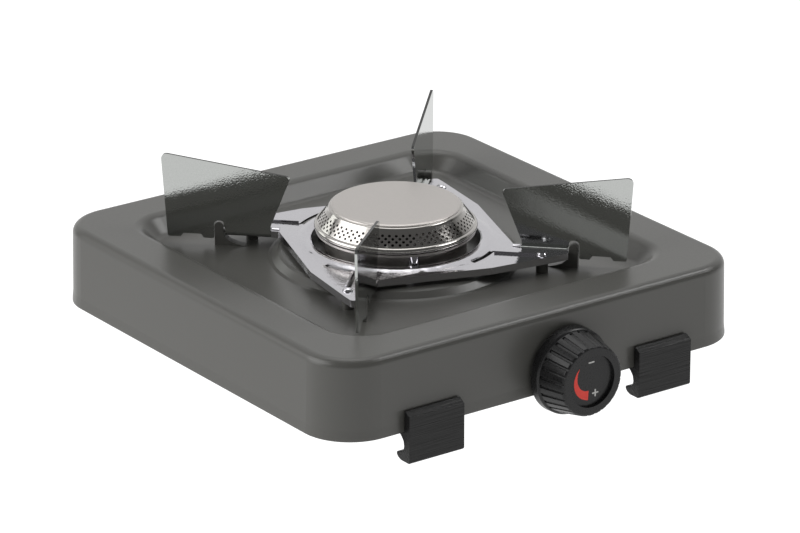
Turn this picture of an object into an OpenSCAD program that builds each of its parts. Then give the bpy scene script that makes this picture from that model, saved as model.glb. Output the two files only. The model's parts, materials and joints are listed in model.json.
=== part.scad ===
// Single-burner camping stove: pressed steel tray, pinwheel pan-support
// plate, four folding supports, perforated burner and front control tap.
// Millimetres. +Z up, +X to the user's right, the user stands on the -Y side.
// Z = 0 is the plane that the four foot clips stand on.

/* [Housing] */
// overall width of the pressed housing
body_w = 280; // [250:1:320]
// overall depth of the pressed housing
body_d = 281.6; // [250:0.1:320]
// height of the housing from its bottom edge to the rim
body_h = 46; // [40:0.5:60]
// plan corner radius of the housing
corner_r = 29.5; // [20:0.5:40]
// sheet thickness of the housing
sheet_t = 1; // [0.8:0.1:1.5]
// depth of the sunken well below the rim
well_depth = 10; // [8:0.5:14]
// distance from the housing edge to the well shoulder
rim_w = 26.5; // [20:0.5:35]
// plan corner radius of the well shoulder
well_r = 27; // [22:0.5:32]
// height of the round platform above the well floor
platform_rise = 4; // [2:0.5:5]
// radius of the platform at its foot
platform_r = 72; // [68:0.5:78]

/* [Pan supports] */
// radius of the outer edge of a support
blade_out = 134; // [120:0.1:138]
// radius of the inner top corner of a support
blade_in = 59.6; // [55:0.1:66]
// height of the outer top corner above the housing's bottom edge
blade_top = 89.8; // [80:0.1:95]
// drop of the top edge from the outer to the inner corner
blade_fall = 10.8; // [6:0.1:14]
// sheet thickness of a support
blade_t = 1.5; // [1:0.1:2]
// height of the hinge axis above the housing's bottom edge
hinge_z = 44.5; // [43:0.1:46]
// distance of the hinge axis clockwise from the support's middle plane
hinge_t = 2.15; // [1.5:0.05:2.2]
// hinge pin diameter
pin_d = 3; // [2.5:0.1:3.4]
// outside diameter of the rolled hinge barrel
barrel_d = 5.8; // [5:0.1:6.4]

/* [Support plate] */
// height of the plate's top face above the housing's bottom edge
plate_z = 46.3; // [45:0.1:48]
// plate thickness
plate_t = 1.2; // [1:0.1:1.6]
// radius of the central hole
plate_hole = 47.7; // [47:0.1:49]

/* [Burner] */
// cap diameter
cap_d = 73.2; // [60:0.1:76]
// height of the cap's top edge above the housing's bottom edge
cap_z = 67.2; // [64:0.1:72]
// outside diameter of the rolled lip
lip_d = 92; // [88:0.1:93]
// holes in one row of the skirt
skirt_holes = 32; // [20:1:40]
// diameter of a skirt hole
skirt_hole_d = 1.8; // [1:0.1:2.4]

/* [Control] */
// sideways position of the knob axis
knob_x = 12; // [0:0.5:30]
// height of the knob axis above the housing's bottom edge
knob_z = 11.2; // [10:0.1:16]
// knob diameter at the back
knob_back_d = 49.8; // [40:0.1:52]
// knob diameter at the front
knob_front_d = 40.6; // [34:0.1:44]
// number of grip flutes
flutes = 28; // [20:1:32]

/* [Feet] */
// width of one foot clip
clip_w = 36.5; // [30:0.5:45]
// distance of each clip from the middle of the stove
clip_x = 78; // [60:0.5:90]
// how far the clips reach below the housing's bottom edge
foot_drop = 17.2; // [15:0.1:20]

/* [Hidden] */
hd = body_d / 2;
hw = body_w / 2;
floor_z = body_h - well_depth;
plat_z = floor_z + platform_rise;
well_x = hw - rim_w;
well_y = hd - rim_w;
arms = [-135, -45, 45, 135];
hole_n = 40;
scr_s = 84.6;
scr_t = 12.9;
// plate edge beside the hinge barrels, measured like hinge_t
edge_t = hinge_t + barrel_d / 2 + 0.3;
// how far the plate's turned-down edge reaches below its top face
flange_h = 4;
inlet_x = 46;
inlet_z = 16;
jet_z = 17;

// which node to draw

// ---------- helpers ----------

// raise a part drawn from the housing's bottom edge to the standing plane
module up() {
  translate([0, 0, foot_drop]) children();
}

// point on a circle
function pc(c, r, a) = [c[0] + r * cos(a), c[1] + r * sin(a)];

// n + 1 points along an arc
function arc(c, r, a0, a1, n) = [for (i = [0:n]) pc(c, r, a0 + (a1 - a0) * i / n)];

// unit vector from a to b
function uv(a, b) = (b - a) / norm(b - a);

// one rounded corner of a polygon
function bend(p, q, s, r, n) =
  let (
    u = uv(q, p),
    v = uv(q, s),
    h = acos(max(-1, min(1, u * v))) / 2,
    m = uv([0, 0], u + v),
    c = q + m * r / sin(h),
    a = q + u * r / tan(h) - c,
    b = q + v * r / tan(h) - c,
    a0 = atan2(a[1], a[0]),
    d0 = atan2(b[1], b[0]) - a0,
    d1 = d0 > 180 ? d0 - 360 : (d0 < -180 ? d0 + 360 : d0)
  )
  [for (i = [0:n]) pc(c, r, a0 + d1 * i / n)];

// polygon of [x, y, r] points with every corner rounded by its own r
function soft(pts, n) =
  let (k = len(pts))
  [for (i = [0:k - 1])
    let (
      p = [pts[(i + k - 1) % k][0], pts[(i + k - 1) % k][1]],
      q = [pts[i][0], pts[i][1]],
      s = [pts[(i + 1) % k][0], pts[(i + 1) % k][1]]
    )
    each (pts[i][2] > 0 ? bend(p, q, s, pts[i][2], n) : [q])
  ];

// rectangle with round corners, from its half sizes
module rrect(x, y, r) {
  square([2 * x - 2 * r, 2 * y], center = true);
  square([2 * x, 2 * y - 2 * r], center = true);
  for (i = [-1, 1]) {
    for (j = [-1, 1]) {
      translate([i * (x - r), j * (y - r)]) circle(r = r, $fn = 64);
    }
  }
}

// carries a section [distance from corner centre, z] round a rounded rectangle
module frame_sweep(x, y, r, pts) {
  cx = x - r;
  cy = y - r;
  for (k = [[cx, cy, 0], [-cx, cy, 90], [-cx, -cy, 180], [cx, -cy, 270]]) {
    translate([k[0], k[1], 0])
      rotate([0, 0, k[2]])
        rotate_extrude(angle = 90, $fn = 64) polygon(pts);
  }
  for (k = [[cx, 0, 0, cy], [0, cy, 90, cx], [-cx, 0, 180, cy], [0, -cy, 270, cx]]) {
    translate([k[0], k[1], 0])
      rotate([0, 0, k[2]])
        rotate([90, 0, 0])
          translate([0, 0, -k[3]])
            linear_extrude(height = 2 * k[3]) polygon(pts);
  }
}

// children drawn in an arm's frame: +X outwards, +Y anticlockwise from above
module arm(a) {
  rotate([0, 0, a]) children();
}

// children drawn round an arm's hinge axis
module on_hinge() {
  translate([0, -hinge_t, hinge_z]) children();
}

// rod along X
module rod_x(x0, x1, r) {
  translate([x0, 0, 0]) rotate([0, 90, 0]) cylinder(r = r, h = x1 - x0, $fn = 48);
}

// rod along Y
module rod_y(y0, y1, r) {
  translate([0, y1, 0]) rotate([90, 0, 0]) cylinder(r = r, h = y1 - y0, $fn = 48);
}

// hexagon bar along Y
module hex_y(y0, y1, af) {
  translate([0, y1, 0]) rotate([90, 0, 0]) cylinder(d = af / cos(30), h = y1 - y0, $fn = 6);
}

// hexagon bar along X
module hex_x(x0, x1, af) {
  translate([x0, 0, 0]) rotate([0, 90, 0]) cylinder(d = af / cos(30), h = x1 - x0, $fn = 6);
}

// ---------- housing ----------

// section of the skirt and the crease into the rim
function skirt_section() = concat(
  [[corner_r, 0], [corner_r - 0.05, 1.5], [corner_r - 0.5, 6]],
  arc([corner_r - 6.1, body_h - 5], 5, 0, 90, 8),
  [[corner_r - 12, body_h], [corner_r - 12, body_h - sheet_t]],
  arc([corner_r - 6.1, body_h - 5], 5 - sheet_t, 90, 0, 8),
  [[corner_r - 0.5 - sheet_t, 6], [corner_r - 0.05 - sheet_t, 1.5], [corner_r - sheet_t, 0]]
);

// radius of the convex shoulder and the concave foot of the well wall
sh_r = 8;
ft_r = 6;
// horizontal run of the wall at 45 degrees between the two arcs
run45 = well_depth - (sh_r + ft_r) * (1 - cos(45));
well_foot = well_r - (sh_r + ft_r) * sin(45) - run45;

// section of the well wall, from the shoulder down to the floor
function wall_section() = concat(
  arc([well_r, body_h - sh_r], sh_r, 90, 135, 6),
  arc([well_foot, floor_z + ft_r], ft_r, 315, 270, 6),
  arc([well_foot, floor_z + ft_r], ft_r + sheet_t, 270, 315, 6),
  arc([well_r, body_h - sh_r], sh_r - sheet_t, 135, 90, 6)
);

// upright fin that holds the outer end of a hinge pin
module floor_lug() {
  difference() {
    translate([0, 2.7 - hinge_t, 0])
      rotate([90, 0, 0])
        linear_extrude(height = 5.4)
          polygon(concat(
            [[84, floor_z - 0.5], [103.6, floor_z - 0.5]],
            arc([101.1, 47.4], 2.5, 0, 180, 12),
            [[98.5, 44], [98.2, 42], [97, 40.2], [95, 38.6], [91.5, 37.2], [87.5, 36.3], [84, 36.02]]
          ));
    on_hinge() rod_x(97, 105, pin_d / 2 + 0.05);
  }
}

module stove_body() {
  color([0.36, 0.35, 0.33])
  up() {
    difference() {
      union() {
        frame_sweep(hw, hd, corner_r, skirt_section());
        translate([0, 0, body_h - sheet_t])
          linear_extrude(height = sheet_t)
            difference() {
              rrect(hw - 12, hd - 12, corner_r - 12);
              rrect(well_x, well_y, well_r);
            }
        frame_sweep(well_x, well_y, well_r, wall_section());
        translate([0, 0, floor_z - sheet_t])
          linear_extrude(height = sheet_t)
            difference() {
              rrect(well_x - well_r + well_foot, well_y - well_r + well_foot, well_foot);
              circle(r = platform_r - 1, $fn = 96);
            }
        rotate_extrude($fn = 96)
          polygon([
            [platform_r, floor_z], [platform_r - 2, floor_z + 0.5],
            [platform_r - 5.5, plat_z - 0.5], [platform_r - 7.5, plat_z],
            [13.6, plat_z], [13.6, plat_z - sheet_t],
            [platform_r - 7.9, plat_z - sheet_t], [platform_r - 6.2, plat_z - 1.4],
            [platform_r - 2.7, floor_z - 0.4], [platform_r - 0.6, floor_z - sheet_t],
            [platform_r, floor_z - sheet_t]
          ]);
        for (a = arms) {
          arm(a) floor_lug();
        }
      }
      for (a = arms) {
        arm(a) {
          translate([scr_s, -scr_t, floor_z - 3]) cylinder(d = 4.4, h = 6, $fn = 32);
        }
      }
      translate([knob_x, 0, knob_z]) rod_y(-hd - 5, -hd + 5, 6.3);
      translate([inlet_x, 0, inlet_z]) rod_y(hd - 5, hd + 5, 5.2);
    }
  }
}

// ---------- pan-support plate ----------

// corners of one quarter of the pinwheel outline, in an arm's frame
quarter = [
  [60, -38, 3], [94, -12.8, 4], [99.2, -8.6, 2], [98.2, -edge_t, 0],
  [71.2, -edge_t, 0], [71.2, 0.8, 0], [66.6, 0.8, 1]
];

// outline point q turned by k quarters
function turned(q, k) = [
  q[0] * cos(90 * k) - q[1] * sin(90 * k),
  q[0] * sin(90 * k) + q[1] * cos(90 * k),
  q[2]
];

function pinwheel() = soft([for (k = [0:3]) each [for (q = quarter) turned(q, k)]], 5);

module plate_flat() {
  rotate([0, 0, 45]) polygon(pinwheel());
}

module pan_support_plate() {
  color([0.8, 0.8, 0.82])
  up() {
    difference() {
      union() {
        translate([0, 0, plate_z - plate_t])
          linear_extrude(height = plate_t)
            difference() {
              plate_flat();
              circle(r = 55.5, $fn = 96);
            }
        translate([0, 0, plate_z - flange_h])
          linear_extrude(height = flange_h - 0.2)
            difference() {
              plate_flat();
              offset(delta = -plate_t) plate_flat();
            }
        rotate_extrude($fn = 96)
          polygon([
            [56, plate_z - plate_t], [56, plate_z], [54.2, plate_z + 1.3],
            [49, plate_z + 1.5], [plate_hole, plate_z + 0.6], [plate_hole, plate_z - 2.6],
            [plate_hole + 1.1, plate_z - 2.6], [plate_hole + 1.1, plate_z + 0.1],
            [49.6, plate_z + 0.4], [53.7, plate_z + 0.2], [55, plate_z - plate_t]
          ]);
        for (a = arms) {
          arm(a) {
            on_hinge() rod_x(66.8, 71, barrel_d / 2);
            translate([58, -15.3, plate_z - 0.4]) cube([23, 1.2, 1.7]);
          }
        }
      }
      for (a = arms) {
        arm(a) {
          on_hinge() rod_x(60, 75, pin_d / 2);
          translate([scr_s, -scr_t, plate_z - 5]) cylinder(d = 4.3, h = 10, $fn = 32);
          translate([56.6, -14, plate_z - 5]) cube([24, 2, 10]);
          rotate([0, 0, -33])
            rotate_extrude(angle = 20, $fn = 96)
              translate([56.2, plate_z - 5]) square([2.8, 10]);
        }
      }
    }
  }
}

module plate_spacers() {
  color([0.36, 0.35, 0.33])
  up() {
    for (a = arms) {
      arm(a) {
        translate([scr_s, -scr_t, floor_z]) {
          difference() {
            cylinder(d = 6.8, h = plate_z - plate_t - floor_z, $fn = 40);
            translate([0, 0, -1]) cylinder(d = 4.3, h = 20, $fn = 32);
          }
        }
      }
    }
  }
}

module plate_screws() {
  color([0.82, 0.82, 0.84])
  up() {
    for (a = arms) {
      arm(a) {
        translate([scr_s, -scr_t, 0]) {
          translate([0, 0, floor_z - 5]) cylinder(d = 3.9, h = plate_z - floor_z + 5, $fn = 32);
          translate([0, 0, plate_z])
            rotate_extrude($fn = 40)
              polygon([[0, 0], [3.1, 0], [3, 0.6], [2.3, 1.3], [1.2, 1.7], [0, 1.8]]);
        }
      }
    }
  }
}

module plate_nuts() {
  color([0.7, 0.7, 0.72])
  up() {
    for (a = arms) {
      arm(a) {
        translate([scr_s, -scr_t, floor_z - sheet_t - 3.2]) {
          difference() {
            cylinder(d = 7 / cos(30), h = 3.2, $fn = 6);
            translate([0, 0, -1]) cylinder(d = 3.96, h = 6, $fn = 32);
          }
        }
      }
    }
  }
}

// ---------- folding pan supports ----------

// side outline of a support: x along the radius, y up
function blade_outline() = soft([
  [blade_out, blade_top, 3],
  [blade_in, blade_top - blade_fall, 2],
  [71.4, 49, 1.5],
  [71.4, hinge_z, 0],
  [97.4, hinge_z, 0],
  [97.4, 46, 0.8],
  [98.1, 47.4, 0.8],
  [98.1, 50.8, 2.2],
  [104, 50.8, 2.6],
  [104, 40, 0.6],
  [109.8, 40, 0.4],
  [111.4, 42.2, 0.4],
  [121.6, 42.2, 0.4],
  [123.2, 40, 0.4],
  [130.6, 40, 1]
], 5);

module blade() {
  difference() {
    union() {
      translate([0, blade_t / 2, 0])
        rotate([90, 0, 0])
          linear_extrude(height = blade_t) polygon(blade_outline());
      on_hinge() rod_x(71.4, 97.4, barrel_d / 2);
    }
    on_hinge() rod_x(70, 99, pin_d / 2 + 0.06);
  }
}

module pan_support_front() {
  color([0.75, 0.75, 0.76]) up() arm(-135) blade();
}

module pan_support_right() {
  color([0.75, 0.75, 0.76]) up() arm(-45) blade();
}

module pan_support_back() {
  color([0.75, 0.75, 0.76]) up() arm(45) blade();
}

module pan_support_left() {
  color([0.75, 0.75, 0.76]) up() arm(135) blade();
}

module hinge_pins() {
  color([0.66, 0.66, 0.68])
  up() {
    for (a = arms) {
      arm(a) on_hinge() rod_x(66.4, 103.4, pin_d / 2);
    }
  }
}

// ---------- burner ----------

module burner_cap() {
  r = cap_d / 2;
  color([0.72, 0.69, 0.66])
  up()
    rotate_extrude($fn = 96)
      polygon(concat(
        [[0, cap_z - 0.9], [33, cap_z - 1.4], [33, cap_z - 3.4], [35.6, cap_z - 3.4],
         [35.6, cap_z - 1.2]],
        [for (t = [0:15:90]) [r - 2.4 + 2.4 * cos(t), cap_z - 1.2 + 1.3 * sin(t)]],
        [[r - 8, cap_z + 0.3], [r - 20, cap_z + 0.5], [0, cap_z + 0.6]]
      ));
}

module burner_skirt() {
  color([0.78, 0.77, 0.75])
  up()
    difference() {
      union() {
        rotate_extrude($fn = 96)
          polygon([
            [44.3, 56.6], [38.4, 64.6], [38.4, 65.5], [37.9, 66.0], [36.2, 66.0],
            [36.2, 65.0], [37.5, 65.0], [37.5, 64.3], [43.3, 56.6]
          ]);
      }
      for (row = [0:2]) {
        for (i = [0:skirt_holes - 1]) {
          rotate([0, 0, (i + row * 0.5) * 360 / skirt_holes])
            translate([42.4 - row * 1.55, 0, 58.5 + row * 2.1])
              rotate([0, 53.6, 0])
                cylinder(d = skirt_hole_d, h = 6, center = true, $fn = 16);
        }
      }
    }
}

module burner_lip_ring() {
  color([0.8, 0.79, 0.78])
  up()
    rotate_extrude($fn = 96)
      translate([lip_d / 2 - 1.9, 54.65]) circle(r = 1.9, $fn = 24);
}

module burner_bowl() {
  color([0.6, 0.58, 0.55])
  up()
    rotate_extrude($fn = 96)
      polygon([
        [13.1, plat_z], [38.5, plat_z], [40, plat_z + 1.5], [40, 51.5], [45, 51.5],
        [45, 52.7], [38.8, 52.7], [38.8, plat_z + 2], [38, plat_z + 1.2], [13.1, plat_z + 1.2]
      ]);
}

module burner_posts() {
  color([0.82, 0.82, 0.84])
  up() {
    for (i = [0:2]) {
      rotate([0, 0, -112.4 + 120 * i])
        translate([43, 0, plat_z]) cylinder(r = 2.9, h = 11.5, $fn = 40);
    }
  }
}

module burner_locknut() {
  color([0.7, 0.7, 0.72])
  up()
    translate([0, 0, plat_z - sheet_t - 5])
      difference() {
        cylinder(d = 34, h = 5, $fn = 6);
        translate([0, 0, -1]) cylinder(r = 13.03, h = 8, $fn = 64);
      }
}

// straight tube with a bell mouth, and the upright elbow below the burner
module mixing_tube() {
  color([0.66, 0.66, 0.65])
  up()
    difference() {
      union() {
        translate([0, 0, jet_z]) rod_y(-96, 0, 8.5);
        translate([0, 0, jet_z])
          rotate([90, 0, 0])
            rotate_extrude($fn = 64)
              polygon([[0, 80], [8.5, 80], [12.5, 87], [12.5, 101], [0, 101]]);
        translate([0, 0, 5]) cylinder(r = 13, h = 40, $fn = 64);
      }
      translate([0, 0, jet_z]) rod_y(-97, 0, 7.4);
      translate([0, 0, jet_z])
        rotate([90, 0, 0])
          rotate_extrude($fn = 64)
            polygon([[0, 80], [7.4, 80], [11.3, 87.4], [11.3, 103], [0, 103]]);
      translate([0, 0, 6.2]) cylinder(r = 11.8, h = 40, $fn = 64);
      for (i = [0:3]) {
        translate([0, -94, jet_z])
          rotate([0, 45 + 90 * i, 0])
            cylinder(d = 7, h = 16, $fn = 32);
      }
    }
}

module mixing_tube_bracket() {
  color([0.68, 0.68, 0.7])
  up()
    translate([0, -70, 0])
      rotate([90, 0, 0])
        linear_extrude(height = 9)
          difference() {
            union() {
              translate([0, jet_z]) circle(r = 9.8, $fn = 48);
              translate([-9.8, jet_z]) square([19.6, floor_z - sheet_t - jet_z]);
              translate([-22, floor_z - sheet_t - 1.2]) square([44, 1.2]);
            }
            translate([0, jet_z]) circle(r = 8.54, $fn = 48);
            translate([-8.54, jet_z]) square([17.08, 30]);
          }
}

module gas_jet() {
  color([0.78, 0.6, 0.3])
  up()
    translate([0, 0, jet_z])
      difference() {
        union() {
          hex_y(-112, -106, 10);
          rod_y(-106.5, -99, 3.6);
          translate([0, -94, 0]) rotate([90, 0, 0]) cylinder(r1 = 2, r2 = 3.6, h = 5.2, $fn = 40);
        }
        rod_y(-113, -98, 1.5);
        rod_y(-99, -93, 0.4);
      }
}

// ---------- control tap ----------

module valve_body() {
  color([0.76, 0.6, 0.32])
  up()
    difference() {
      union() {
        translate([-8, -133, 3]) cube([29, 21, 22]);
        translate([knob_x, 0, knob_z]) rod_y(-147.5, -132, 6);
        translate([knob_x, 0, knob_z]) rod_y(-137.2, -132, 8);
      }
      translate([knob_x, 0, knob_z]) rod_y(-150, -122, 3.06);
      translate([0, 0, jet_z]) rod_y(-119, -110, 2.2);
      translate([0, -122, inlet_z]) rod_x(15, 22, 3);
    }
}

module valve_washer() {
  color([0.6, 0.6, 0.6])
  up()
    translate([knob_x, 0, knob_z])
      difference() {
        rod_y(-139, -137.3, 9.5);
        rod_y(-140, -136, 6.1);
      }
}

module valve_nut() {
  color([0.78, 0.62, 0.34])
  up()
    translate([knob_x, 0, knob_z])
      difference() {
        hex_y(-144, -140.9, 17);
        rod_y(-145, -140, 6.02);
      }
}

module valve_spindle() {
  color([0.7, 0.7, 0.7])
  up()
    translate([knob_x, 0, knob_z])
      difference() {
        rod_y(-158, -122.5, 3);
        translate([-4, -160, 1.6]) cube([8, 11.5, 4]);
      }
}

// section of the knob, [radius, distance in front of the knob's back]
function knob_section() =
  let (b = knob_back_d / 2, f = knob_front_d / 2)
  concat(
    [[19, 0], [b - 0.8, 0], [b, 0.8], [b - 0.3, 5.6], [b - 0.9, 6.2], [b - 1.4, 6.4]],
    arc([f - 1.6, 21.8], 1.6, 10, 90, 5),
    [[15, 23.4], [15, 20.4], [0, 20.4], [0, 7], [19, 7]]
  );

module control_knob() {
  color([0.07, 0.07, 0.08])
  up()
    translate([knob_x, -141.8, knob_z])
      difference() {
        rotate([90, 0, 0]) rotate_extrude($fn = 96) polygon(knob_section());
        for (i = [0:flutes - 1]) {
          rotate([0, (i + 0.5) * 360 / flutes, 0])
            translate([0, -6.8, knob_back_d / 2 - 1.2])
              rotate([90 + 11.2, 0, 0]) cylinder(r = 1.1, h = 30, $fn = 20);
        }
        difference() {
          rod_y(-18, 0, 3.02);
          translate([-4, -19, 1.6]) cube([8, 11.8, 4]);
        }
      }
}

module knob_face_disc() {
  color([0.09, 0.09, 0.1])
  up()
    translate([knob_x, -141.8, knob_z])
      rod_y(-21.4, -20.4, 14.9);
}

// ---------- gas line ----------

module gas_pipe() {
  color([0.74, 0.74, 0.75])
  up()
    translate([0, 0, inlet_z])
      difference() {
        union() {
          translate([inlet_x, 0, 0]) rod_y(-107, 126, 4);
          translate([inlet_x - 15, -107, 0])
            rotate([0, 0, -90])
              rotate_extrude(angle = 90, $fn = 64) translate([15, 0]) circle(r = 4, $fn = 32);
          translate([0, -122, 0]) rod_x(22.2, inlet_x - 15, 4);
        }
        translate([inlet_x, 0, 0]) rod_y(-107, 127, 3);
        translate([inlet_x - 15, -107, 0])
          rotate([0, 0, -90])
            rotate_extrude(angle = 90, $fn = 64) translate([15, 0]) circle(r = 3, $fn = 32);
        translate([0, -122, 0]) rod_x(20, inlet_x - 15, 3);
      }
}

module pipe_nuts() {
  color([0.78, 0.62, 0.34])
  up()
    translate([0, 0, inlet_z]) {
      translate([0, -122, 0])
        difference() {
          hex_x(21, 30, 13);
          rod_x(20, 31, 4.03);
        }
      translate([inlet_x, 0, 0])
        difference() {
          hex_y(117, 127.9, 13);
          rod_y(116, 129, 4.03);
        }
    }
}

module gas_inlet_tail() {
  color([0.78, 0.62, 0.34])
  up()
    translate([inlet_x, 0, inlet_z])
      rotate([-90, 0, 0])
        rotate_extrude($fn = 64)
          polygon([
            [2.5, 128], [5, 128], [5, 141.5], [8, 141.5], [8, 145.5], [4.5, 145.5],
            [4.5, 154], [3.9, 157.6], [4.5, 157.8], [3.9, 161.2], [4.5, 161.4],
            [3.6, 165.2], [2.5, 165.2]
          ]);
}

module inlet_washer() {
  color([0.5, 0.2, 0.15])
  up()
    translate([inlet_x, 0, inlet_z])
      difference() {
        rod_y(140.4, 141.5, 8);
        rod_y(140, 142, 5.05);
      }
}

module inlet_locknut() {
  color([0.78, 0.62, 0.34])
  up()
    translate([inlet_x, 0, inlet_z])
      difference() {
        hex_y(134.4, 138.9, 15);
        rod_y(134, 140, 5.02);
      }
}

// ---------- foot clips ----------

// section of a clip: [distance outwards from the housing's bottom edge, z]
function clip_section() = concat(
  [[5, -16.4], [4.2, -17.2], [-3.2, -17.2], [-5.6, -16.2], [-6.9, -14.7], [-6.7, -13.2]],
  [[-4.6, -12.3], [-1.8, -11.6], [-0.6, -10], [-0.2, -8], [-0.7, -5.6], [-2.6, -3.2]],
  [[-4.4, -1.8], [-4.4, 7.2], [-3.6, 8.2], [-2.1, 8.2], [-2.1, -0.3], [0.15, -0.3]],
  [[0.15, 12], [1, 12], [5, 9.7]]
);

module clip_pair() {
  for (i = [-1, 1]) {
    translate([i * clip_x - clip_w / 2, -hd, 0])
      rotate([90, 0, 90])
        linear_extrude(height = clip_w) mirror([1, 0, 0]) polygon(clip_section());
  }
}

module front_foot_clips() {
  color([0.06, 0.06, 0.06]) up() clip_pair();
}

module rear_foot_clips() {
  color([0.06, 0.06, 0.06]) up() rotate([0, 0, 180]) clip_pair();
}

stove_body();
pan_support_plate();
plate_spacers();
plate_screws();
plate_nuts();
pan_support_front();
pan_support_right();
pan_support_back();
pan_support_left();
hinge_pins();
burner_cap();
burner_skirt();
burner_lip_ring();
burner_bowl();
burner_posts();
burner_locknut();
mixing_tube();
mixing_tube_bracket();
gas_jet();
valve_body();
valve_washer();
valve_nut();
valve_spindle();
control_knob();
knob_face_disc();
gas_pipe();
pipe_nuts();
gas_inlet_tail();
inlet_washer();
inlet_locknut();
front_foot_clips();
rear_foot_clips();
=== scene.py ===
"""Looks of a one-burner camping stove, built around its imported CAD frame."""

import json
import math

import bmesh
import bpy
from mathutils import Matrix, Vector


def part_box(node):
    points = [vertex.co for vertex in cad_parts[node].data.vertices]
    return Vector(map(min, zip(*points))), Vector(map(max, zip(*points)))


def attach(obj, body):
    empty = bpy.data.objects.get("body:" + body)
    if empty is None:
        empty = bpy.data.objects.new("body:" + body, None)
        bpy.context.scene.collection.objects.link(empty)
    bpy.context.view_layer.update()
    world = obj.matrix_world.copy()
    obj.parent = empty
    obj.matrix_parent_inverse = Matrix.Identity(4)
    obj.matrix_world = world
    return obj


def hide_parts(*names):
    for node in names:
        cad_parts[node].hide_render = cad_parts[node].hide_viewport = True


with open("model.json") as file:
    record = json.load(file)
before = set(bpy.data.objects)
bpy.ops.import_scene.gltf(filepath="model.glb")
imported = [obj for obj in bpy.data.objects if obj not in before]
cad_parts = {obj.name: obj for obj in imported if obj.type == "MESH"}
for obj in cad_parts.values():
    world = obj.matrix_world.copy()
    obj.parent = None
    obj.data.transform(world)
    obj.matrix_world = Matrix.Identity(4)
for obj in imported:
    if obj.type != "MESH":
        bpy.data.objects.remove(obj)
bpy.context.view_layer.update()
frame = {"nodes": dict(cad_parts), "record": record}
NODES = frame["nodes"]
MM = 0.001

# ---------------------------------------------------------------- camera

CAMERA_AT = (-1.53698, -2.12890, 1.06098)
CAMERA_YAW = math.radians(35.879)
CAMERA_DIP = math.radians(21.132)
LENS_MM = 224.91
SENSOR_MM = 36


def make_camera():
    data = bpy.data.cameras.new("Camera")
    data.lens = LENS_MM
    data.sensor_width = SENSOR_MM
    data.sensor_fit = "HORIZONTAL"
    data.clip_end = 60
    camera = bpy.data.objects.new("Camera", data)
    camera.location = CAMERA_AT
    camera.rotation_euler = (math.pi / 2 - CAMERA_DIP, 0, -CAMERA_YAW)
    bpy.context.scene.collection.objects.link(camera)
    bpy.context.scene.camera = camera


# ---------------------------------------------------------------- node helpers


def new_material(name):
    material = bpy.data.materials.new(name)
    material.use_nodes = True
    tree = material.node_tree
    shader = tree.nodes["Principled BSDF"]
    return material, tree, shader


def coordinates(tree, stretch=(1, 1, 1)):
    """Object coordinates, which are metres in the frame, scaled along each axis."""
    source = tree.nodes.new("ShaderNodeTexCoord")
    mapping = tree.nodes.new("ShaderNodeMapping")
    mapping.inputs["Scale"].default_value = stretch
    tree.links.new(source.outputs["Object"], mapping.inputs["Vector"])
    return mapping.outputs["Vector"]


def noise(tree, vector, scale, detail=3, rough=0.5):
    node = tree.nodes.new("ShaderNodeTexNoise")
    node.inputs["Scale"].default_value = scale
    node.inputs["Detail"].default_value = detail
    node.inputs["Roughness"].default_value = rough
    tree.links.new(vector, node.inputs["Vector"])
    return node.outputs["Fac"]


def spread(tree, value, low, high, out_low, out_high):
    """Maps a value from one range to another and clamps it."""
    node = tree.nodes.new("ShaderNodeMapRange")
    node.inputs["From Min"].default_value = low
    node.inputs["From Max"].default_value = high
    node.inputs["To Min"].default_value = out_low
    node.inputs["To Max"].default_value = out_high
    tree.links.new(value, node.inputs["Value"])
    return node.outputs["Result"]


def mix(tree, factor, first, second):
    """Mixes two colours, each a tuple or a socket."""
    node = tree.nodes.new("ShaderNodeMix")
    node.data_type = "RGBA"
    tree.links.new(factor, node.inputs["Factor"])
    for socket, colour in ((node.inputs[6], first), (node.inputs[7], second)):
        if isinstance(colour, tuple):
            socket.default_value = (*colour, 1)
        else:
            tree.links.new(colour, socket)
    return node.outputs[2]


def bump(tree, height, distance, normal=None):
    """Relief of the given depth in metres, on top of another normal if there is one."""
    node = tree.nodes.new("ShaderNodeBump")
    node.inputs["Distance"].default_value = distance
    node.inputs["Strength"].default_value = 1
    tree.links.new(height, node.inputs["Height"])
    if normal is not None:
        tree.links.new(normal, node.inputs["Normal"])
    return node.outputs["Normal"]


def math_node(tree, operation, first, second):
    """One Math node, whose inputs are numbers or sockets."""
    node = tree.nodes.new("ShaderNodeMath")
    node.operation = operation
    for socket, value in zip(node.inputs, (first, second)):
        if isinstance(value, (int, float)):
            socket.default_value = value
        else:
            tree.links.new(value, socket)
    return node.outputs[0]


def shade(colour, factor):
    """A darker or paler form of a colour."""
    return tuple(factor * channel for channel in colour)


def grainy(tree, grain, low, high):
    """Spreads the middle of a noise over a range of values."""
    return spread(tree, grain, GRAIN_LOW, GRAIN_HIGH, low, high)


def worn_edge(tree, width):
    """1 on an edge and 0 elsewhere, from how far a rounded normal turns."""
    bevel = tree.nodes.new("ShaderNodeBevel")
    bevel.samples = 4
    bevel.inputs["Radius"].default_value = width
    geometry = tree.nodes.new("ShaderNodeNewGeometry")
    dot = tree.nodes.new("ShaderNodeVectorMath")
    dot.operation = "DOT_PRODUCT"
    tree.links.new(bevel.outputs["Normal"], dot.inputs[0])
    tree.links.new(geometry.outputs["Normal"], dot.inputs[1])
    return spread(tree, dot.outputs["Value"], TURN_FLAT, TURN_EDGE, 0, 1)


# ---------------------------------------------------------------- materials

PAINT_DARK = (0.086, 0.085, 0.078)
PAINT_LIGHT = (0.098, 0.097, 0.089)
# painted reflection: dark grey painted on the supports' top edges for the dark they
# mirror
PAINTED_DARK_TOP_EDGE = (0.07, 0.07, 0.068)
INK_RED = (0.88, 0.045, 0.025)
INK_WHITE = (0.62, 0.62, 0.60)
# the middle part of a noise, which carries most of its variation
GRAIN_LOW, GRAIN_HIGH = 0.3, 0.7
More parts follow.
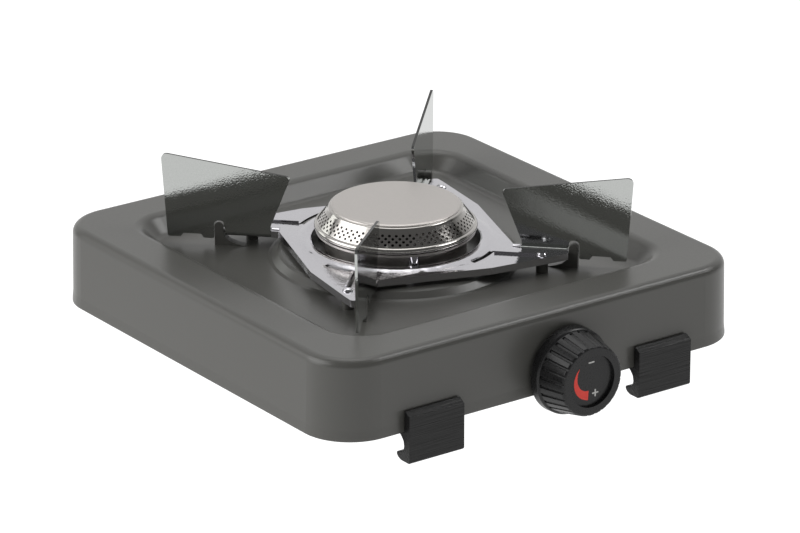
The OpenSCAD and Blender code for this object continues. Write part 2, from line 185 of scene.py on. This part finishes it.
# cosine of the turned normal, where wear starts and where it is full
TURN_FLAT, TURN_EDGE = 0.995, 0.93
WORN_WIDTH = 0.3 * MM
# heights in the frame between which a support's edges turn from bright to dull and
# painted dark, a painted reflection of the dark they mirror
EDGE_FROM, EDGE_TO = 67 * MM, 68 * MM


def satin_paint():
    """Powder coat: slight clouding and fine orange peel."""
    material, tree, shader = new_material("body_paint")
    where = coordinates(tree)
    cloud = noise(tree, where, 7, 2)
    peel = noise(tree, where, 620, 2)
    colour = mix(tree, cloud, PAINT_DARK, PAINT_LIGHT)
    tree.links.new(colour, shader.inputs["Base Color"])
    tree.links.new(grainy(tree, peel, 0.28, 0.32), shader.inputs["Roughness"])
    tree.links.new(bump(tree, peel, 0.000018), shader.inputs["Normal"])
    return material


def bright_sheet(name, colour, rough=(0.05, 0.12), wave_depth=0.00012):
    """Plated sheet: mirror bright, with faint rolling waves and fine mottle."""
    material, tree, shader = new_material(name)
    wave = noise(tree, coordinates(tree, (1, 1, 0.35)), 140, 2)
    mottle = noise(tree, coordinates(tree), 1100, 2)
    tint = mix(tree, mottle, shade(colour, 0.86), colour)
    tree.links.new(tint, shader.inputs["Base Color"])
    shader.inputs["Metallic"].default_value = 1
    tree.links.new(grainy(tree, mottle, *rough), shader.inputs["Roughness"])
    rolled = bump(tree, wave, wave_depth)
    tree.links.new(bump(tree, mottle, 0.00003, normal=rolled), shader.inputs["Normal"])
    return material


def dull_edges_painted_dark(material, colour, rough):
    """Makes the sheared top edges of a support dull, and paints them dark as a painted
    reflection of the dark they mirror; its rolled hinge stays bright.
    """
    tree = material.node_tree
    shader = tree.nodes["Principled BSDF"]
    facing = tree.nodes.new("ShaderNodeTexCoord").outputs["Normal"]
    split = tree.nodes.new("ShaderNodeSeparateXYZ")
    tree.links.new(facing, split.inputs[0])
    upward = math_node(tree, "MULTIPLY", split.outputs["Z"], split.outputs["Z"])
    height = tree.nodes.new("ShaderNodeSeparateXYZ")
    tree.links.new(coordinates(tree), height.inputs[0])
    above = spread(tree, height.outputs["Z"], EDGE_FROM, EDGE_TO, 0, 1)
    # painted reflection: up-facing top edges above EDGE_FROM are mixed to a dark grey
    edge = math_node(tree, "MULTIPLY", above, spread(tree, upward, 0.35, 0.6, 0, 1))
    sheet = shader.inputs["Base Color"].links[0].from_socket
    tree.links.new(mix(tree, edge, sheet, colour), shader.inputs["Base Color"])
    gloss = shader.inputs["Roughness"].links[0].from_socket
    dull = math_node(tree, "MULTIPLY", edge, rough)
    tree.links.new(math_node(tree, "MAXIMUM", gloss, dull), shader.inputs["Roughness"])
    return material


def turned_metal(name, colour, rough=(0.22, 0.36)):
    """Machined or brushed metal with a fine, even grain."""
    material, tree, shader = new_material(name)
    grain = noise(tree, coordinates(tree), 700, 4, 0.6)
    tint = mix(tree, grain, shade(colour, 0.82), colour)
    tree.links.new(tint, shader.inputs["Base Color"])
    shader.inputs["Metallic"].default_value = 1
    tree.links.new(grainy(tree, grain, *rough), shader.inputs["Roughness"])
    tree.links.new(bump(tree, grain, 0.00003), shader.inputs["Normal"])
    return material


def moulded_plastic(name, colour, rough=(0.36, 0.5), stretch=(1, 1, 1), depth=0.00004):
    """Moulded or extruded plastic, with its scuffed, paler edges."""
    material, tree, shader = new_material(name)
    grain = noise(tree, coordinates(tree, stretch), 800, 3)
    body = mix(tree, grain, shade(colour, 0.8), colour)
    edged = mix(tree, worn_edge(tree, WORN_WIDTH), body, shade(colour, 2.2))
    tree.links.new(edged, shader.inputs["Base Color"])
    shader.inputs["Specular IOR Level"].default_value = 0.34
    tree.links.new(grainy(tree, grain, *rough), shader.inputs["Roughness"])
    tree.links.new(bump(tree, grain, depth), shader.inputs["Normal"])
    return material


def printed_ink(name, colour):
    """Flat printed ink."""
    material, tree, shader = new_material(name)
    grain = noise(tree, coordinates(tree), 1500, 3)
    tint = mix(tree, grain, shade(colour, 0.85), colour)
    tree.links.new(tint, shader.inputs["Base Color"])
    tree.links.new(grainy(tree, grain, 0.4, 0.55), shader.inputs["Roughness"])
    tree.links.new(bump(tree, grain, 0.00002), shader.inputs["Normal"])
    return material


def dress(node, material):
    """Gives a CAD node its material."""
    slots = NODES[node].data.materials
    slots.clear()
    slots.append(material)


def dress_frame():
    """Makes one material for each slot of the record and dresses every node."""
    slots = {
        "body_paint": satin_paint(),
        "chrome_plate": bright_sheet("chrome_plate", (0.66, 0.65, 0.68), (0.06, 0.14)),
        # the supports' top edges get a painted dark reflection and a duller finish
        "support_chrome": dull_edges_painted_dark(
            bright_sheet("support_chrome", (0.56, 0.575, 0.56), (0.03, 0.07), 0.00004),
            PAINTED_DARK_TOP_EDGE, 0.4),
        "zinc_steel": turned_metal("zinc_steel", (0.62, 0.62, 0.63)),
        "satin_steel": turned_metal("satin_steel", (0.60, 0.57, 0.545), (0.34, 0.42)),
        "bright_steel": bright_sheet("bright_steel", (0.54, 0.52, 0.495), (0.08, 0.14)),
        "aluminium": turned_metal("aluminium", (0.74, 0.74, 0.74)),
        "brass": turned_metal("brass", (0.72, 0.55, 0.28), (0.2, 0.32)),
        "black_plastic": moulded_plastic(
            "black_plastic", (0.014, 0.014, 0.0145), (0.24, 0.34)),
        "clip_plastic": moulded_plastic(
            "clip_plastic", (0.008, 0.008, 0.008), (0.3, 0.5), (0.05, 1, 1.6), 0.0003),
        "fibre": moulded_plastic("fibre", (0.35, 0.12, 0.08), (0.6, 0.8)),
    }
    for part in frame["record"]["subparts"]:
        dress(part["node"], slots[part["material_slot"]])
    return slots


# ---------------------------------------------------------------- pieces


def add_piece(name, mesh, body, material, instead_of=()):
    """Adds a visual piece that moves with a body and can stand in for CAD nodes."""
    piece = bpy.data.objects.new(name, mesh)
    bpy.context.scene.collection.objects.link(piece)
    mesh.materials.append(material)
    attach(piece, body)
    if instead_of:
        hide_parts(*instead_of)
    return piece


SHARP = math.radians(40)


def mesh_of(name, verts, faces, smooth=True):
    """A welded mesh whose edges are sharp where its faces meet steeply."""
    mesh = bpy.data.meshes.new(name)
    mesh.from_pydata(verts, [], faces)
    mesh.validate()
    build = bmesh.new()
    build.from_mesh(mesh)
    bmesh.ops.remove_doubles(build, verts=build.verts, dist=1e-7)
    bmesh.ops.recalc_face_normals(build, faces=build.faces)
    for face in build.faces:
        face.smooth = smooth
    build.to_mesh(mesh)
    build.free()
    mesh.set_sharp_from_angle(angle=SHARP)
    return mesh


HOLES = 66
HOLE_ROWS = 4
HOLE_R = 0.8 * MM
SKIN = 0.7 * MM
RING_STEPS = 4 * HOLES
CELL_POINTS = 12
# the cone's outer face: radius at its foot and at its top, and its rise
CONE_FOOT_R = 44.3 * MM
CONE_TOP_R = 38.4 * MM
CONE_RISE = 8.0 * MM
# plain sheet below and above the rows of holes
PLAIN_FOOT = 0.9 * MM
PLAIN_TOP = 1.9 * MM
# the rolled lip at the top: radius and height above the cone's foot, in millimetres
LIP = (
    (38.1, 8.4), (37.9, 8.9), (37.5, 9.25), (37.0, 9.4),
    (36.2, 9.4), (36.2, 8.5), (37.3, 8.4),
)


def perforated_skirt():
    """The burner's cone of thin sheet, with staggered rows of real holes."""
    low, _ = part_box("burner_skirt")
    base = low[2]
    foot = Vector((CONE_FOOT_R, base))
    slope = Vector((CONE_TOP_R, base + CONE_RISE)) - foot
    length = slope.length
    slope.normalize()
    out = Vector((slope.y, -slope.x))
    pitch = (length - PLAIN_FOOT - PLAIN_TOP) / HOLE_ROWS
    verts = []
    faces = []

    def place(distance, turn, depth, aside=0):
        """Adds a point up the cone, round it and into the sheet; gives back its index."""
        flat = foot + slope * distance - out * depth
        angle = 2 * math.pi * turn / RING_STEPS + aside / flat.x
        verts.append((flat.x * math.cos(angle), flat.x * math.sin(angle), flat.y))
        return len(verts) - 1

    def cell(row, start, depth):
        """One cell of sheet round a hole; gives back the hole's rim."""
        bottom = PLAIN_FOOT + pitch * row
        middle = bottom + pitch / 2
        wide = 2 * math.pi * (foot + slope * middle).x / HOLES
        edge = [(quarter, 0) for quarter in range(5)] + [(4, 0.5)]
        edge += [(4 - quarter, 1) for quarter in range(5)] + [(0, 0.5)]
        outer = [
            place(bottom + pitch * rise, start + quarter, depth)
            for quarter, rise in edge
        ]
        rim = []
        for quarter, rise in edge:
            theta = math.atan2((rise - 0.5) * pitch, (quarter / 4 - 0.5) * wide)
            up, aside = HOLE_R * math.sin(theta), HOLE_R * math.cos(theta)
            rim.append(place(middle + up, start + 2, depth, aside))
        for k in range(CELL_POINTS):
            n = (k + 1) % CELL_POINTS
            faces.append((outer[k], outer[n], rim[n], rim[k]))
        return rim

    for row in range(HOLE_ROWS):
        for hole in range(HOLES):
            start = 4 * hole + 2 * (row % 2)
            front = cell(row, start, 0)
            back = cell(row, start, SKIN)
            for k in range(CELL_POINTS):
                n = (k + 1) % CELL_POINTS
                faces.append((front[k], front[n], back[n], back[k]))

    def band(profile):
        """Turns a profile of (radius, height) points round the cone's axis."""
        rings = []
        for radius, height in profile:
            first = len(verts)
            for turn in range(RING_STEPS):
                angle = 2 * math.pi * turn / RING_STEPS
                verts.append((radius * math.cos(angle), radius * math.sin(angle), height))
            rings.append(first)
        for a, b in zip(rings, rings[1:]):
            for turn in range(RING_STEPS):
                after = (turn + 1) % RING_STEPS
                faces.append((a + turn, a + after, b + after, b + turn))

    def flat(distance, depth):
        """A point up the cone and into the sheet, as (radius, height)."""
        return tuple(foot + slope * distance - out * depth)

    band([flat(length - PLAIN_TOP, 0), flat(length - 0.3 * MM, 0)]
         + [(radius * MM, base + height * MM) for radius, height in LIP]
         + [flat(length - 0.4 * MM, SKIN), flat(length - PLAIN_TOP, SKIN)])
    band([flat(PLAIN_FOOT, SKIN), (43.4 * MM, base + 0.05 * MM), (43.9 * MM, base),
          flat(0.1 * MM, 0), flat(PLAIN_FOOT, 0)])
    return mesh_of("burner_skirt_sheet", verts, faces)


def inlay(name, outline, front, thick):
    """Flat shape [(across, up)] standing a little proud of the knob's disc."""
    count = len(outline)
    verts = [(x, front, z) for x, z in outline]
    verts += [(x, front + thick, z) for x, z in outline]
    faces = [tuple(range(count)), tuple(range(count, 2 * count))]
    for k in range(count):
        after = (k + 1) % count
        faces.append((k, after, count + after, count + k))
    return mesh_of(name, verts, faces, False)


def bar(x, z, half_long, half_thick, turned=False):
    """Outline of a bar with rounded ends."""
    points = []
    for end in (1, -1):
        for k in range(7):
            angle = math.radians(90 - 30 * k)
            u = end * (half_long - half_thick + half_thick * math.cos(angle))
            v = end * half_thick * math.sin(angle)
            points.append((x - v, z + u) if turned else (x + u, z + v))
    return points


MARK_PROUD = 0.08 * MM
MARK_THICK = 0.3 * MM
BAR_HALF_THICK = 0.45 * MM
# the crescent, in degrees and millimetres; its two sides end a little apart
CRESCENT_START = 132
CRESCENT_OUTER_SWEEP = 130
CRESCENT_INNER_SWEEP = 126
CRESCENT_OUTER_R = 11.2
CRESCENT_INNER_R = 11.1
CRESCENT_WIDEST = 5.3
CRESCENT_SWELL = 0.8
CRESCENT_STEPS = 28


def knob_marks(red, white):
    """The crescent, the minus and the plus on the knob's disc."""
    low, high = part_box("knob_face_disc")
    x = (low[0] + high[0]) / 2
    z = (low[2] + high[2]) / 2
    front = low[1] - MARK_PROUD

    def add_mark(name, outline, plane, ink):
        mesh = inlay(name, outline, plane, MARK_THICK)
        add_piece(name, mesh, "knob", ink)

    crescent = []
    for k in range(CRESCENT_STEPS + 1):
        angle = math.radians(CRESCENT_START + CRESCENT_OUTER_SWEEP * k / CRESCENT_STEPS)
        radius = CRESCENT_OUTER_R * MM
        crescent.append((x + radius * math.cos(angle), z + radius * math.sin(angle)))
    for k in range(CRESCENT_STEPS, -1, -1):
        angle = math.radians(CRESCENT_START + CRESCENT_INNER_SWEEP * k / CRESCENT_STEPS)
        swell = CRESCENT_WIDEST * (k / CRESCENT_STEPS) ** CRESCENT_SWELL
        radius = (CRESCENT_INNER_R - swell) * MM
        crescent.append((x + radius * math.cos(angle), z + radius * math.sin(angle)))
    add_mark("knob_mark_flame", crescent, front, red)
    minus = bar(x + 0.6 * MM, z + 10.4 * MM, 2.1 * MM, BAR_HALF_THICK)
    add_mark("knob_mark_low", minus, front, white)
    for name, turned in (("knob_mark_high", False), ("knob_mark_high_upright", True)):
        stroke = bar(x + 3.4 * MM, z - 7.9 * MM, 2.2 * MM, BAR_HALF_THICK, turned)
        # the upright lies a hair in front, so that the two faces don't share a plane
        shift = 0.02 * MM if turned else 0
        add_mark(name, stroke, front - shift, white)


# how far the edges of sheet and plastic are rounded
SUPPORT_ROUND = 0.25 * MM
CLIP_ROUND = 0.35 * MM
PLATE_ROUND = 0.4 * MM


def soften_edges(nodes, width, segments=2):
    """Rounds the sharp edges of CAD nodes a little, for their edge highlights."""
    for node in nodes:
        part = NODES[node]
        weld = part.modifiers.new("weld", "WELD")
        weld.merge_threshold = 1e-6
        bevel = part.modifiers.new("bevel", "BEVEL")
        bevel.width = width
        bevel.segments = segments
        bevel.limit_method = "ANGLE"
        bevel.angle_limit = SHARP
        weighted = part.modifiers.new("weighted", "WEIGHTED_NORMAL")
        weighted.keep_sharp = False


# ---------------------------------------------------------------- studio


def emitter(name, strength):
    """A surface that only glows."""
    material, _, shader = new_material(name)
    shader.inputs["Base Color"].default_value = (0, 0, 0, 1)
    shader.inputs["Roughness"].default_value = 1
    shader.inputs["Specular IOR Level"].default_value = 0
    shader.inputs["Emission Color"].default_value = (1, 1, 1, 1)
    shader.inputs["Emission Strength"].default_value = strength
    return material


# soft boxes of light: azimuth, height, inner and outer radius in degrees, brightness
SKY_BASE = 0.12
SKY = (
    (54, 24, 30, 66, 0.66),
    (154, 26, 14, 35, 3.0),
    (335, 46, 4, 15, 6.4),
    (54, 73, 8, 28, 1.5),
)
# the least brightness of the sky to the camera alone, which makes the white backdrop
BACKDROP = 1.6
FLOOR_SEEN = 1.2
FLOOR_SEEN_Z = -0.4 * MM
FLOOR_GLOW = 0.95
FLOOR_GLOW_Z = -0.6 * MM
FLOOR_REACH = 12
# half the width of the square below the object that doesn't glow
FLOOR_OPEN = 0.125


def make_sky():
    """A dim sky with the soft boxes that the metal mirrors."""
    world = bpy.data.worlds.new("World")
    world.use_nodes = True
    tree = world.node_tree
    background = tree.nodes["Background"]
    source = tree.nodes.new("ShaderNodeTexCoord")
    total = SKY_BASE
    for azimuth, height, inner, outer, strength in SKY:
        a, h = math.radians(azimuth), math.radians(height)
        dot = tree.nodes.new("ShaderNodeVectorMath")
        dot.operation = "DOT_PRODUCT"
        tree.links.new(source.outputs["Generated"], dot.inputs[0])
        dot.inputs[1].default_value = (
            math.cos(h) * math.cos(a), math.cos(h) * math.sin(a), math.sin(h))
        edge = (math.cos(math.radians(outer)), math.cos(math.radians(inner)))
        patch = spread(tree, dot.outputs["Value"], *edge, 0, strength)
        patch.node.interpolation_type = "SMOOTHSTEP"
        total = math_node(tree, "ADD", patch, total)
    rays = tree.nodes.new("ShaderNodeLightPath")
    backdrop = math_node(tree, "MULTIPLY", rays.outputs["Is Camera Ray"], BACKDROP)
    seen = math_node(tree, "MAXIMUM", total, backdrop)
    tree.links.new(seen, background.inputs["Strength"])
    background.inputs["Color"].default_value = (1, 1, 1, 1)
    bpy.context.scene.world = world


def make_floor():
    """A white floor for the camera, and a dimmer one, open below the object, that
    lights the object and shows in its metal."""
    bpy.ops.mesh.primitive_plane_add(size=2 * FLOOR_REACH, location=(0, 0, FLOOR_SEEN_Z))
    floor = bpy.context.object
    floor.name = "floor"
    floor.data.materials.append(emitter("floor", FLOOR_SEEN))
    floor.visible_diffuse = False
    floor.visible_glossy = False
    floor.visible_shadow = False

    corners = ((-1, -1), (1, -1), (1, 1), (-1, 1))
    verts = [(half * x, half * y, FLOOR_GLOW_Z)
             for half in (FLOOR_REACH, FLOOR_OPEN) for x, y in corners]
    faces = [(0, 1, 5, 4), (1, 2, 6, 5), (2, 3, 7, 6), (3, 0, 4, 7)]
    mesh = mesh_of("floor_glow", verts, faces, False)
    glow = bpy.data.objects.new("floor_glow", mesh)
    bpy.context.scene.collection.objects.link(glow)
    glow.data.materials.append(emitter("floor_glow", FLOOR_GLOW))
    glow.visible_camera = False
    glow.visible_shadow = False


def make_studio():
    bpy.context.scene.view_settings.view_transform = "Standard"
    make_sky()
    make_floor()


# ---------------------------------------------------------------- build

make_camera()
make_studio()
SLOTS = dress_frame()
add_piece("burner_skirt_sheet", perforated_skirt(), "housing",
          SLOTS["bright_steel"], ["burner_skirt"])
knob_marks(printed_ink("ink_red", INK_RED), printed_ink("ink_white", INK_WHITE))
soften_edges([f"pan_support_{side}" for side in ("front", "right", "back", "left")],
             SUPPORT_ROUND)
soften_edges(["front_foot_clips", "rear_foot_clips"], CLIP_ROUND)
soften_edges(["pan_support_plate"], PLATE_ROUND, 3)
